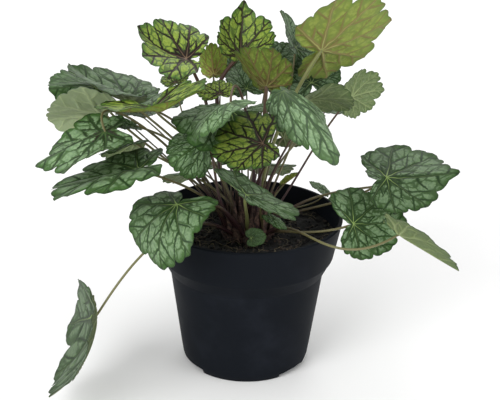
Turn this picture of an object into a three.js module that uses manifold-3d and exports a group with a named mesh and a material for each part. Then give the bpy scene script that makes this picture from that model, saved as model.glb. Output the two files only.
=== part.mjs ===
// A heuchera in its 13 cm nursery pot: millimetres, +Z up, the origin at the middle of the pot's base.
import * as THREE from "three";
import { mergeVertices } from "three/addons/utils/BufferGeometryUtils.js";
import Module from "manifold-3d";

const wasm = await Module();
wasm.setup();

// Pot: radii and heights of its turned profile
const RIM_RADIUS = 65;
const POT_HEIGHT = 107;
const BAND_FOOT = { radius: 59.4, height: 79.2 };
const BODY_TOP = { radius: 53, height: 69 };
const BODY_FOOT = { radius: 44.9, height: 12 };
const BASE_RADIUS = 41.2;
const WALL = 1.9;
const ROUND_SIDES = 36;
const DRAIN = { radius: 38.8, width: 27, height: 4, azimuths: [29, 142, 209, 323] };

// Soil and crown
const GAP = 0.3;
const SOIL_LEVEL = 94;
const SOIL_FRONT_RISE = 9;
const CROWN = { y: -4, radius: 18, top: 103, fall: 6.5, foot: 89 };
const CROWN_SIDES = 18;

// Leaves
const BLADE = 0.8;
const STALK_SIDES = 5;
const STALK_SINK = 2.6;
const STALK_CLEAR = 0.45;
const LOBE = 40;
const TOOTH = LOBE / 3;
// The points of a blade's rings, from the edge inwards, for blades of at least this length
const RINGS = [
  { least: 55, counts: [54, 27, 9] },
  { least: 39, counts: [36, 18, 9] },
  { least: 36, counts: [36, 12] },
  { least: 20, counts: [27, 9] },
  { least: 0, counts: [24, 6] },
];
// How far the edge lies from the stalk, as a share of the length, at each angle from the tip
const BASE_OUTLINE = [[0, 1], [25, 0.95], [50, 0.88], [75, 0.81], [100, 0.73], [120, 0.6],
  [135, 0.45], [147, 0.3], [160, 0.15], [172, 0.08], [180, 0.06]];
const LOBE_DEPTH = { lime: 0.12, silver: 0.06 };
const TOOTH_DEPTH = 0.055;

const rad = THREE.MathUtils.degToRad;

const FINISH = {
  pot: { color: 0x1b1e22, roughness: 0.45, metalness: 0 },
  soil: { color: 0x2c221a, roughness: 0.95, metalness: 0 },
  crown: { color: 0x4a3028, roughness: 0.8, metalness: 0 },
  lime: { color: 0x86a83c, roughness: 0.55, metalness: 0 },
  silver: { color: 0x6f9571, roughness: 0.55, metalness: 0 },
};

const object = new THREE.Group();

function place(name, geometry, finish) {
  const mesh = new THREE.Mesh(geometry, new THREE.MeshStandardMaterial(FINISH[finish]));
  mesh.name = name;
  object.add(mesh);
}

// ---- joining and cutting

function solid(geometry) {
  const bare = geometry.clone();
  bare.deleteAttribute("normal");
  bare.deleteAttribute("uv");
  const merged = mergeVertices(bare, 1e-3);
  return new wasm.Manifold(new wasm.Mesh({
    numProp: 3,
    vertProperties: new Float32Array(merged.attributes.position.array),
    triVerts: new Uint32Array(merged.index.array),
  }));
}

function geometryOf(manifold) {
  const mesh = manifold.getMesh();
  const geometry = new THREE.BufferGeometry();
  geometry.setAttribute("position", new THREE.BufferAttribute(mesh.vertProperties, 3));
  geometry.setIndex(new THREE.BufferAttribute(mesh.triVerts, 1));
  geometry.computeVertexNormals();
  return geometry;
}

// A turned solid: the profile's points are [radius, height], from the axis round to the axis again
function turned(profile, sides) {
  const points = profile.map(([radius, height]) => new THREE.Vector2(radius, height));
  const geometry = new THREE.LatheGeometry(points, sides);
  geometry.rotateX(Math.PI / 2);
  return geometry;
}

// ---- pot

function wallLine(inset) {
  return [
    [BODY_FOOT.radius - inset, BODY_FOOT.height],
    [BODY_TOP.radius - inset, BODY_TOP.height + inset / 3],
    [BAND_FOOT.radius - inset, BAND_FOOT.height + inset / 3],
  ];
}

function pot() {
  const outer = [[0, 0], [BASE_RADIUS, 0], [BASE_RADIUS + 1, 1], [BASE_RADIUS + 2.6, 5], ...wallLine(0),
    [RIM_RADIUS, POT_HEIGHT - 0.8], [RIM_RADIUS - 0.7, POT_HEIGHT]];
  const inner = [[RIM_RADIUS - WALL - 0.9, POT_HEIGHT], ...wallLine(WALL).reverse(),
    [BASE_RADIUS - 0.6, WALL], [0, WALL]];
  let body = solid(turned([...outer, ...inner], ROUND_SIDES));
  const kept = solid(turned([[0, -2 * DRAIN.height], [DRAIN.radius, -2 * DRAIN.height],
    [DRAIN.radius, 2 * DRAIN.height], [0, 2 * DRAIN.height]], ROUND_SIDES));
  for (const azimuth of DRAIN.azimuths) {
    const notch = new THREE.BoxGeometry(20, DRAIN.width, 2 * DRAIN.height);
    notch.translate(BASE_RADIUS, 0, 0);
    notch.rotateZ(rad(azimuth));
    body = body.subtract(solid(notch).subtract(kept));
  }
  place("pot", geometryOf(body), "pot");
}

// ---- soil

function soilHeight(x, y) {
  const front = SOIL_FRONT_RISE * Math.exp(-(((y + 60) / 24) ** 2));
  const crumbs = 0.7 * Math.sin(0.33 * x + 1) * Math.cos(0.29 * y) + 0.5 * Math.sin(0.21 * x - 0.37 * y);
  return SOIL_LEVEL + front + crumbs;
}

function soil() {
  const rimInside = RIM_RADIUS - WALL - 1.2;
  const floor = [[0, WALL + GAP], [BASE_RADIUS - 2.6, WALL + GAP]];
  const top = [rimInside - 3.2, 48, 36, 26, 0].map((radius) => [radius, SOIL_LEVEL]);
  const geometry = turned([...floor, ...wallLine(WALL + GAP), ...top], ROUND_SIDES);
  const position = geometry.attributes.position;
  for (let i = 0; i < position.count; i += 1) {
    if (Math.abs(position.getZ(i) - SOIL_LEVEL) < 1e-3) {
      position.setZ(i, soilHeight(position.getX(i), position.getY(i)));
    }
  }
  const pocket = turned([[0, CROWN.foot - GAP], [CROWN.radius + GAP, CROWN.foot - GAP],
    [CROWN.radius + GAP, POT_HEIGHT], [0, POT_HEIGHT]], CROWN_SIDES);
  pocket.translate(0, CROWN.y, 0);
  place("soil", geometryOf(solid(geometry).subtract(solid(pocket))), "soil");
}

// ---- leaf blades

// How far the edge lies from the stalk, as a share of the blade's length; phi is measured from the tip
function edge(leaf, phi) {
  const angle = Math.abs(((((phi + 180) % 360) + 360) % 360) - 180);
  const next = Math.max(1, BASE_OUTLINE.findIndex(([limit]) => limit >= angle));
  const [[a, ra], [b, rb]] = [BASE_OUTLINE[next - 1], BASE_OUTLINE[next]];
  const base = ra + ((rb - ra) * (angle - a)) / (b - a);
  const depth = leaf.lobed ?? LOBE_DEPTH[leaf.kind];
  const lobes = 1 - depth + depth * Math.abs(Math.cos((Math.PI * phi) / LOBE)) ** 0.6;
  const teeth = 1 - TOOTH_DEPTH + TOOTH_DEPTH * Math.abs(Math.cos((Math.PI * phi) / TOOTH)) ** 0.6;
  return base * lobes * teeth;
}

function frameOf(leaf) {
  const [heading, pitch, roll] = leaf.aim.map(rad);
  return new THREE.Matrix4().makeRotationZ(heading - Math.PI / 2)
    .multiply(new THREE.Matrix4().makeRotationX(pitch))
    .multiply(new THREE.Matrix4().makeRotationY(roll))
    .setPosition(...leaf.at);
}

const chord = (length, turn) => (Math.abs(turn) < 1e-9 ? length : (length * Math.sin(turn)) / turn);

// A point of the blade. Flat, it lies at share of the way out to the edge, and lift above the middle
// of the blade's thickness. The blade is waved, folded up at its midrib, curled across, bent down along its
// length and then aimed.
function bladePoint(leaf, share, phi, lift) {
  const { length, width, form: [fold, curl, droop], skew = 0, tip = 0, wave = [0.03, 5, 0] } = leaf;
  const angle = rad(phi);
  const pointed = 1 + tip * Math.exp(-((phi / 7) ** 2));
  const r = share * edge(leaf, phi) * length * (1 + skew * Math.sin(angle)) * pointed;
  const out = (r / length) ** 2;
  let x = r * Math.sin(angle) * width;
  let y = r * Math.cos(angle);
  let z = lift + length * wave[0] * out * Math.cos(wave[1] * angle + rad(wave[2]));

  const half = Math.abs(x);
  const turn = ((rad(curl) / (0.8 * length)) * half) / 2;
  const rise = rad(fold) * (1 - Math.exp(-half / (0.08 * length))) + turn;
  const across = chord(half, turn);
  x = Math.sign(x) * (across * Math.cos(rise) - z * Math.sin(rise + turn));
  z = across * Math.sin(rise) + z * Math.cos(rise + turn);

  const bend = ((rad(droop) / length) * y) / 2;
  const along = chord(y, bend);
  y = along * Math.cos(bend) + z * Math.sin(2 * bend);
  z = -along * Math.sin(bend) + z * Math.cos(2 * bend);
  return new THREE.Vector3(x, y, z).applyMatrix4(frameOf(leaf));
}

// Rings of points from the toothed edge in to the stalk; each ring has a whole multiple of the points of
// the next. Both faces are split alike.
function bladeGeometry(leaf) {
  const { counts } = RINGS.find(({ least }) => leaf.length >= least);
  const shares = counts.length === 3 ? [1, 0.66, 0.32] : [1, 0.5];
  const points = [];
  const faces = [];
  const rings = [1, -1].map((side) => {
    const lift = (side * BLADE) / 2;
    const starts = counts.map((count, k) => {
      const start = points.length;
      for (let i = 0; i < count; i += 1) {
        points.push(bladePoint(leaf, shares[k], (360 * i) / count, lift));
      }
      return start;
    });
    const middle = points.length;
    points.push(bladePoint(leaf, 0, 0, lift));
    const put = (a, b, c) => faces.push(...(side > 0 ? [a, c, b] : [a, b, c]));
    counts.forEach((count, k) => {
      const inner = counts[k + 1] ?? 1;
      const each = count / inner;
      for (let i = 0; i < count; i += 1) {
        const [a, b] = [starts[k] + i, starts[k] + ((i + 1) % count)];
        if (inner === 1) {
          put(a, b, middle);
          continue;
        }
        const near = Math.floor((i + each / 2) / each) % inner;
        put(a, b, starts[k + 1] + near);
        const far = Math.floor((i + 1 + each / 2) / each) % inner;
        if (far !== near) {
          put(starts[k + 1] + near, b, starts[k + 1] + far);
        }
      }
    });
    return starts;
  });
  for (let i = 0; i < counts[0]; i += 1) {
    const j = (i + 1) % counts[0];
    const [a, b, c, d] = [rings[0][0] + i, rings[0][0] + j, rings[1][0] + i, rings[1][0] + j];
    faces.push(a, b, c, b, d, c);
  }
  const geometry = new THREE.BufferGeometry().setFromPoints(points);
  geometry.setIndex(faces);
  return geometry;
}

// ---- leaf stalks

function crownHeight(x, y) {
  return CROWN.top - CROWN.fall * ((x * x + (y - CROWN.y) ** 2) / CROWN.radius ** 2);
}

function rootOf(leaf) {
  const [azimuth, radius] = leaf.root;
  const x = radius * Math.cos(rad(azimuth));
  const y = CROWN.y + radius * Math.sin(rad(azimuth));
  return new THREE.Vector3(x, y, crownHeight(x, y));
}

function direction(azimuth, elevation) {
  return new THREE.Vector3(Math.cos(azimuth) * Math.cos(elevation), Math.sin(azimuth) * Math.cos(elevation),
    Math.sin(elevation));
}

// The stalk leaves the crown at its lean from upright, and comes into the blade along end, or between the
// blade's own direction and the straight way from the root
function stalkLine(leaf, sink) {
  const root = rootOf(leaf);
  const frame = frameOf(leaf);
  const blade = new THREE.Vector3().setFromMatrixPosition(frame);
  const way = blade.clone().sub(root);
  const azimuth = Math.atan2(way.y, way.x);
  const straightLean = (Math.atan2(Math.hypot(way.x, way.y), Math.max(way.z, 1)) * 180) / Math.PI;
  const lean = leaf.lean ?? Math.min(60, 0.55 * straightLean);
  const start = direction(azimuth, rad(90 - lean));
  const tipWay = new THREE.Vector3(0, 1, 0).transformDirection(frame);
  const end = leaf.end ? direction(rad(leaf.end[0]), rad(leaf.end[1]))
    : tipWay.multiplyScalar(0.5).addScaledVector(way.clone().normalize(), 0.6).normalize();
  const [first, last] = leaf.reach ?? [0.38, 0.33];
  const span = way.length();
  const under = new THREE.Vector3(0, 0, 1).transformDirection(frame).multiplyScalar(-0.5);
  const finish = blade.clone().add(under).addScaledVector(end, 0.6);
  return new THREE.CubicBezierCurve3(root.clone().addScaledVector(start, -sink),
    root.clone().addScaledVector(start, first * span),
    blade.clone().addScaledVector(end, -last * span), finish);
}

const stalkRadius = (leaf) => (leaf.length > 32 ? 1.1 : leaf.length > 22 ? 0.95 : 0.7);

function stalk(leaf, sink, clear) {
  const radius = stalkRadius(leaf) + clear;
  const curve = stalkLine(leaf, sink);
  const section = new THREE.Shape();
  for (let i = 0; i < STALK_SIDES; i += 1) {
    const angle = (2 * Math.PI * i) / STALK_SIDES;
    section[i ? "lineTo" : "moveTo"](radius * Math.cos(angle), radius * Math.sin(angle));
  }
  const steps = THREE.MathUtils.clamp(Math.round(curve.getLength() / 17), 3, 6);
  return solid(new THREE.ExtrudeGeometry(section, { steps, extrudePath: curve, curveSegments: 1 }));
}

function leafNode(leaf) {
  const blade = solid(bladeGeometry(leaf));
  place(`leaf_${leaf.name}`, geometryOf(blade.add(stalk(leaf, STALK_SINK, 0))), leaf.kind);
}

// ---- crown, with a hole for each stalk

function crown(leaves) {
  const rings = [1, 0.6, 0].map((share) => [share * CROWN.radius, CROWN.top - CROWN.fall * share ** 2]);
  const geometry = turned([[0, CROWN.foot], [CROWN.radius, CROWN.foot], ...rings], CROWN_SIDES);
  geometry.translate(0, CROWN.y, 0);
  let body = solid(geometry);
  for (const leaf of leaves) {
    body = body.subtract(stalk(leaf, STALK_SINK + STALK_CLEAR, STALK_CLEAR));
  }
  place("crown", geometryOf(body), "crown");
}

// ---- the leaves: at is where the stalk meets the blade, aim the heading, pitch and roll of the blade in
// degrees, form its fold, curl and droop in degrees, root the stalk's azimuth and radius on the crown. The
// stalk starts at lean degrees from upright and comes in along end, an azimuth and an elevation; reach says
// how far those two directions hold, as shares of the way. Skew lengthens the side right of the tip.
const LEAVES = [
  { name: "top_left", kind: "lime", at: [-42.5, 7, 215], aim: [173, 8, -14],
    length: 41, width: 1.1, form: [26, -34, -50], root: [141, 8.5],
    skew: -0.04, lean: 51, reach: [0.2, 0.49], end: [207, 59] },
  { name: "top_middle", kind: "lime", at: [-7, 23, 213.5], aim: [92, 38, 6],
    length: 35, width: 1, form: [24, 38, -49], root: [220, 3],
    skew: 0.11, tip: 0.12, lean: 0, reach: [0.57, 0.48], end: [-13, 45] },
  { name: "top_right", kind: "lime", at: [46, 9, 222.5], aim: [17, 13, -55],
    length: 54, width: 1, form: [6, -9, -12], root: [40, 8.5],
    skew: 0.12, lean: 0, reach: [0.37, 0.29], end: [-19, 60] },
  { name: "middle_upright", kind: "lime", at: [10.5, -3, 200.5], aim: [-142, 55, 32],
    length: 35, width: 0.86, form: [32, 12, -5], root: [294, 15],
    skew: 0.07, lean: 0, reach: [0.31, 0.12], end: [-99, 88] },
  { name: "small_upright", kind: "lime", at: [-25.5, 30, 197.5], aim: [-102, 74, 16],
    length: 23, width: 1, form: [46, 18, -21], root: [164, 5],
    skew: -0.09, lean: 12, reach: [0.36, 0.44], end: [-168, 85] },
  { name: "left_arch", kind: "lime", at: [-61, -43.5, 198], aim: [-71, 6, 10],
    length: 49, width: 1.01, form: [17, -3, -30], root: [228, 11],
    skew: 0.03, lean: 3, reach: [0.49, 0.34], end: [-97, 37] },
  { name: "left_high", kind: "silver", at: [-79, -2, 187.5], aim: [163, 8, 12],
    length: 50, width: 1.05, form: [30, -30, -28], root: [186, 10.5],
    skew: -0.17, lean: 25, reach: [0.6, 0.26], end: [155, 36] },
  { name: "left_far", kind: "silver", at: [-104, 19, 190], aim: [-137, 20, -32],
    length: 36, width: 1.07, form: [-35, 18, 34], root: [162, 11.5],
    skew: 0.03, lean: 2, reach: [0.18, 0.21], end: [-163, 88] },
  { name: "left_pale", kind: "silver", at: [-97.5, -9, 180], aim: [177, -5, 61],
    length: 36, width: 1, form: [-17, 7, 11], root: [176, 14.5],
    skew: -0.28, lobed: 0.03, lean: 24, reach: [0.6, 0.52], end: [192, 20] },
  { name: "left_middle", kind: "silver", at: [-90.5, -56, 185.5], aim: [-167, -16, 4],
    length: 49, width: 1.1, form: [-17, 35, 21], root: [191, 15],
    skew: 0.03, lobed: 0.14, lean: 16, reach: [0.46, 0.4], end: [-56, -40] },
  { name: "left_low", kind: "silver", at: [-70, -58, 162], aim: [176, -14, 6],
    length: 57, width: 1.06, form: [17, -25, 7], root: [206, 15],
    skew: -0.26, lobed: 0.16, lean: 7, reach: [0.34, 0.14], end: [-158, 34] },
  { name: "front_left", kind: "silver", at: [-45, -66, 141], aim: [-135, -26, 14],
    length: 45, width: 1.17, form: [0, 1, 84], root: [262, 15],
    lean: 29, reach: [0.6, 0.2] },
  { name: "hanging_left", kind: "silver", at: [-97, -76, 66], aim: [-91, -68, 77],
    length: 63, width: 0.8, form: [9, 4, -55], root: [234, 15],
    skew: 0.3, lobed: 0.14, lean: 46, reach: [0.57, 0.25] },
  { name: "right_arch", kind: "silver", at: [21, -39, 209], aim: [-61, -1, 23],
    length: 64, width: 0.58, form: [-37, -70, 96], root: [56, 5],
    skew: -0.17, lobed: 0.14, lean: 12, reach: [0.31, 0.4], end: [-89, 7] },
  { name: "right_dark", kind: "silver", at: [38, 4, 189.5], aim: [26, -1, -38],
    length: 31, width: 0.95, form: [-12, 17, 46], root: [14, 6],
    skew: 0.34, lean: 10, reach: [0.51, 0.42], end: [49, 65] },
  { name: "right_pale", kind: "silver", at: [69.5, 37, 181], aim: [38, 7, -81],
    length: 26, width: 0.98, form: [2, -23, 31], root: [355, 10],
    skew: 0.12, lobed: 0.14, lean: 60, reach: [0.22, 0.32], end: [35, 34] },
  { name: "back_right", kind: "silver", at: [42, 41, 189], aim: [118, 52, -3],
    length: 30, width: 1, form: [4, 0, 11], root: [307, 10],
    lean: 19, reach: [0.16, 0.29], end: [75, 56] },
  { name: "back_point", kind: "silver", at: [30, 29.5, 217], aim: [102, 39, 52],
    length: 30, width: 1, form: [9, 4, 11], root: [62, 11],
    lean: 4, reach: [0.58, 0.4], end: [84, 64] },
  { name: "middle_hanging", kind: "silver", at: [-12.5, -52.5, 205.5], aim: [-146, -10, 19],
    length: 35, width: 1, form: [-11, 13, 53], root: [324, 6.5],
    skew: 0.07, lean: 0, reach: [0.59, 0.48], end: [-92, -22] },
  { name: "middle_dark", kind: "silver", at: [-13.5, -20, 189], aim: [-150, 3, -9],
    length: 42, width: 0.97, form: [-14, -4, 13], root: [298, 3],
    skew: -0.3, lean: 14, reach: [0.5, 0.22], end: [-197, 86] },
  { name: "middle_low", kind: "silver", at: [-29, -36, 173.5], aim: [-119, -2, -45],
    length: 34, width: 0.81, form: [-41, 0, 33], root: [252, 12],
    skew: -0.08, lean: 47, reach: [0.55, 0.3], end: [-127, 37] },
  { name: "middle_lime", kind: "lime", at: [8.5, -67, 184], aim: [184, -16, -26],
    length: 33, width: 1, form: [7, -11, -2], root: [273, 7],
    skew: 0.17, lean: 3, reach: [0.48, 0.48], end: [-112, 25] },
  { name: "front_small", kind: "silver", at: [-1.5, -63.5, 148], aim: [31, -31, 7],
    length: 45, width: 0.84, form: [-1, 11, -9], root: [271, 11.5],
    skew: -0.18, lean: 25, reach: [0.4, 0.33], end: [-86, 50] },
  { name: "seedling", kind: "silver", at: [2.5, -37, 106], aim: [5, 8, 52],
    length: 10.5, width: 0.82, form: [10, 8, 10], root: [277, 15],
    lean: 39, reach: [0.34, 0.19] },
  { name: "soil_small", kind: "silver", at: [15, -38.5, 122], aim: [-32, -20, -12],
    length: 14, width: 0.78, form: [0, -16, 12], root: [310, 15],
    lean: 24, reach: [0.43, 0.41] },
  { name: "right_big", kind: "silver", at: [92, -14, 142], aim: [1, -1, 26],
    length: 43, width: 1, form: [-16, 2, -14], root: [47, 15],
    skew: -0.2, tip: 0.14, lean: 60, reach: [0.34, 0.6], end: [-70, 40] },
  { name: "right_low", kind: "silver", at: [70.5, -26.5, 113], aim: [26, -10, 50],
    length: 39, width: 0.9, form: [-3, -31, -21], root: [338, 15],
    skew: -0.12, lean: 28, reach: [0.12, 0.6], end: [18, 13.5] },
  { name: "right_edge", kind: "silver", at: [98, -55, 119], aim: [-22, -23, -34],
    length: 45, width: 1, form: [25, -37, 5], root: [322.5, 15],
    skew: -0.09, lean: 43, reach: [0.39, 0.6], end: [22, 25.5] },
  { name: "back_rim", kind: "silver", at: [53.5, 30, 113], aim: [163, 33, 10],
    length: 13, width: 1, form: [7, -12, 13], root: [74, 14.5],
    lean: 16, reach: [0.19, 0.28], end: [60, 74] },
  { name: "under_arch", kind: "silver", at: [-74.5, 6.5, 176.5], aim: [179, 5, 3],
    length: 16, width: 1, form: [6, 1, 20], root: [141, 15],
    lean: 0, reach: [0.2, 0.12], end: [-176, 37] },
  { name: "left_tucked", kind: "silver", at: [-76.5, -15.5, 175], aim: [-153, 15, -3],
    length: 13, width: 1, form: [6, 3, 17], root: [156, 15],
    lean: 34, reach: [0.39, 0.39], end: [-129, 43] },
  { name: "narrow_right", kind: "silver", at: [24, 46, 147], aim: [1, -1, -71],
    length: 18, width: 0.8, form: [10, 0, 5], root: [61, 15],
    lean: 12, reach: [0.32, 0.18] },
  { name: "inner_right", kind: "lime", at: [25, 20, 123], aim: [22, 30, -40],
    length: 13, width: 0.9, form: [12, 0, 5], root: [35, 13.5],
    lean: 17, reach: [0.5, 0.26] },
  { name: "middle_back", kind: "silver", at: [-2.5, 16, 177.5], aim: [-59, 18, 2],
    length: 22, width: 1, form: [6, 0, 15], root: [109, 5.5],
    lean: 18, reach: [0.26, 0.32], end: [-39, 67] },
  { name: "top_back", kind: "silver", at: [17.5, 41, 205], aim: [59, 33, 16],
    length: 18, width: 1, form: [8, 0, 15], root: [85, 8],
    lean: 16, reach: [0.18, 0.26], end: [77, 50] },
  { name: "front_tucked", kind: "silver", at: [9.5, -31, 128.5], aim: [-27, 6, -6],
    length: 13, width: 1, form: [8, 0, 15], root: [333, 11],
    lean: 47, reach: [0.25, 0.14], end: [-46, 34] },
  { name: "centre_lime", kind: "lime", at: [-20, 0, 193.5], aim: [95, 21, -8],
    length: 17, width: 1, form: [4, -5, 16], root: [208, 11],
    skew: -0.16, lean: 23, reach: [0.31, 0.48], end: [54, 88] },
  { name: "left_under", kind: "silver", at: [-75.5, -18.5, 165], aim: [-162, -10, 31],
    length: 25, width: 1, form: [-16, 7, 12], root: [240, 7],
    lean: 13, reach: [0.35, 0.41], end: [-141, 41] },
  { name: "centre_dark", kind: "silver", at: [-2.5, 29.5, 187.5], aim: [120, 40, 0],
    length: 21, width: 1, form: [15, 0, 21], root: [80, 1],
    lean: 11, reach: [0.33, 0.52], end: [230, 86] },
  { name: "behind_middle", kind: "silver", at: [-14, 50, 194], aim: [97, 36, -2],
    length: 22, width: 1, form: [12, 0, 18], root: [220, 15],
    lean: 14, reach: [0.19, 0.48], end: [94, 45] },
  { name: "behind_left", kind: "lime", at: [-51, 26.5, 192], aim: [106, 20, -11],
    length: 13, width: 1, form: [10, 0, 18], root: [201, 7.5],
    lean: 16, reach: [0.2, 0.55], end: [176, 81] },
  { name: "far_low_left", kind: "silver", at: [-35, 58, 116], aim: [126, -20, -2],
    length: 32, width: 1.05, form: [6, 0, 35], root: [115, 15],
    lean: 39 },
  { name: "far_low_middle", kind: "silver", at: [5, 62, 121], aim: [78, -21, 4],
    length: 35, width: 1.05, form: [6, 0, 35], root: [99, 14.5],
    lean: 39, reach: [0.44, 0.3] },
  { name: "far_middle", kind: "silver", at: [-20, 48, 150], aim: [110, 5, 0],
    length: 35, width: 1.05, form: [6, 0, 35], root: [106, 11],
    lean: 16, reach: [0.36, 0.4], end: [109, 28] },
  { name: "far_high", kind: "lime", at: [10.5, 54.5, 181], aim: [80, 11, 1],
    length: 26, width: 1.05, form: [8, 0, 35], root: [85, 12],
    lean: 14, reach: [0.35, 0.29] },
  { name: "far_right", kind: "silver", at: [53, 53, 165], aim: [49, -8, -2],
    length: 25, width: 1.05, form: [8, 0, 30], root: [21, 11],
    lean: 0, reach: [0.44, 0.55], end: [53, 23] },
  { name: "far_left", kind: "silver", at: [-67, 38, 169], aim: [137, 1, -2],
    length: 34, width: 1.05, form: [8, 0, 35], root: [125, 12],
    lean: 22, reach: [0.22, 0.52], end: [164, 19] },
  { name: "far_low_right", kind: "silver", at: [98, 30, 120], aim: [20, -10, 0],
    length: 34, width: 1.05, form: [8, 0, 30], root: [18, 15],
    lean: 45, reach: [0.39, 0.32], end: [22, 4] },
];

pot();
soil();
crown(LEAVES);
LEAVES.forEach(leafNode);

export default object;
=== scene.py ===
"""A heuchera in its 13 cm nursery pot: the fine leaves, stalks, crown, soil and pot over the plain frame."""
import math

import bmesh
import bpy
import numpy as np
from mathutils import Matrix, Vector


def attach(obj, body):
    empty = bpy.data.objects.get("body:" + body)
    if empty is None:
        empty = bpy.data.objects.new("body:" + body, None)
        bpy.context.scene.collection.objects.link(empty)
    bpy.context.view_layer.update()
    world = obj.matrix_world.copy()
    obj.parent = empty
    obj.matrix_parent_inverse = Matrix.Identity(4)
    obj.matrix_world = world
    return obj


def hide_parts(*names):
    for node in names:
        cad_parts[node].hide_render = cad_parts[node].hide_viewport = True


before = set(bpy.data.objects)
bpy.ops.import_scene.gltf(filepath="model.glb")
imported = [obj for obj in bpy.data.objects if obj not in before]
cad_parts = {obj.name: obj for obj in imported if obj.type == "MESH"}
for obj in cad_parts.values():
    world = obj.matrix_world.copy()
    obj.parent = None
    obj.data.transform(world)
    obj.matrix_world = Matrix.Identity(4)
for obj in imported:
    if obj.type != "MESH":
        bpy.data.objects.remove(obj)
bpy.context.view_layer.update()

MM = 0.001
rng = np.random.default_rng(41)

# Pot, in millimetres: its turned profile, and its drain notches with their spread and azimuths in degrees
RIM_RADIUS = 65
POT_HEIGHT = 107
BAND_FOOT = (59.4, 79.2)
BODY_TOP = (53, 69)
BODY_FOOT = (44.9, 12)
BASE_RADIUS = 41.2
WALL = 1.9
POT_STEPS = 144
DRAIN = dict(radius=38.8, spread=38, height=4, azimuths=(29, 142, 209, 323))

# Soil and crown, in millimetres, and how many pieces lie or stand on them
SOIL_LEVEL = 94
SOIL_FRONT_RISE = 9
CROWN = dict(y=-4, radius=18, top=103, fall=6.5)
PEAT_CRUMBS = 620
BARK_CHIPS = 55
ROOT_FIBRES = 130
OLD_BASES = 64

# Leaves: blade thickness at its middle and margin in millimetres, and the edge as degrees from the tip and
# shares of the blade's length
BLADE_MIDDLE = 0.5
BLADE_MARGIN = 0.28
STALK_SINK = 2.6
STALK_STEPS = 28
LOBE = 40
SIDE_LOBES = 3
TOOTH = LOBE / 3
BASE_OUTLINE = ((0, 1), (25, 0.95), (50, 0.88), (75, 0.81), (100, 0.73), (120, 0.6),
                (135, 0.45), (147, 0.3), (160, 0.15), (172, 0.08), (180, 0.06))
LOBE_DEPTH = dict(lime=0.12, silver=0.06)
TOOTH_DEPTH = 0.055
TONE_SPREAD = 0.12
UV_SHARE = 0.45

# Veins, as shares of the blade's length
SIDE_SPACING = 0.27
SIDE_SLOPE = 0.95
SIDE_CURVE = 0.5
SIDE_SHIFT = 0.37
MAIN_WIDTH = 0.028
SIDE_WIDTH = 0.013
NET_WIDTH = 0.007
CELL = 0.17
WEB = 0.045


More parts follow.
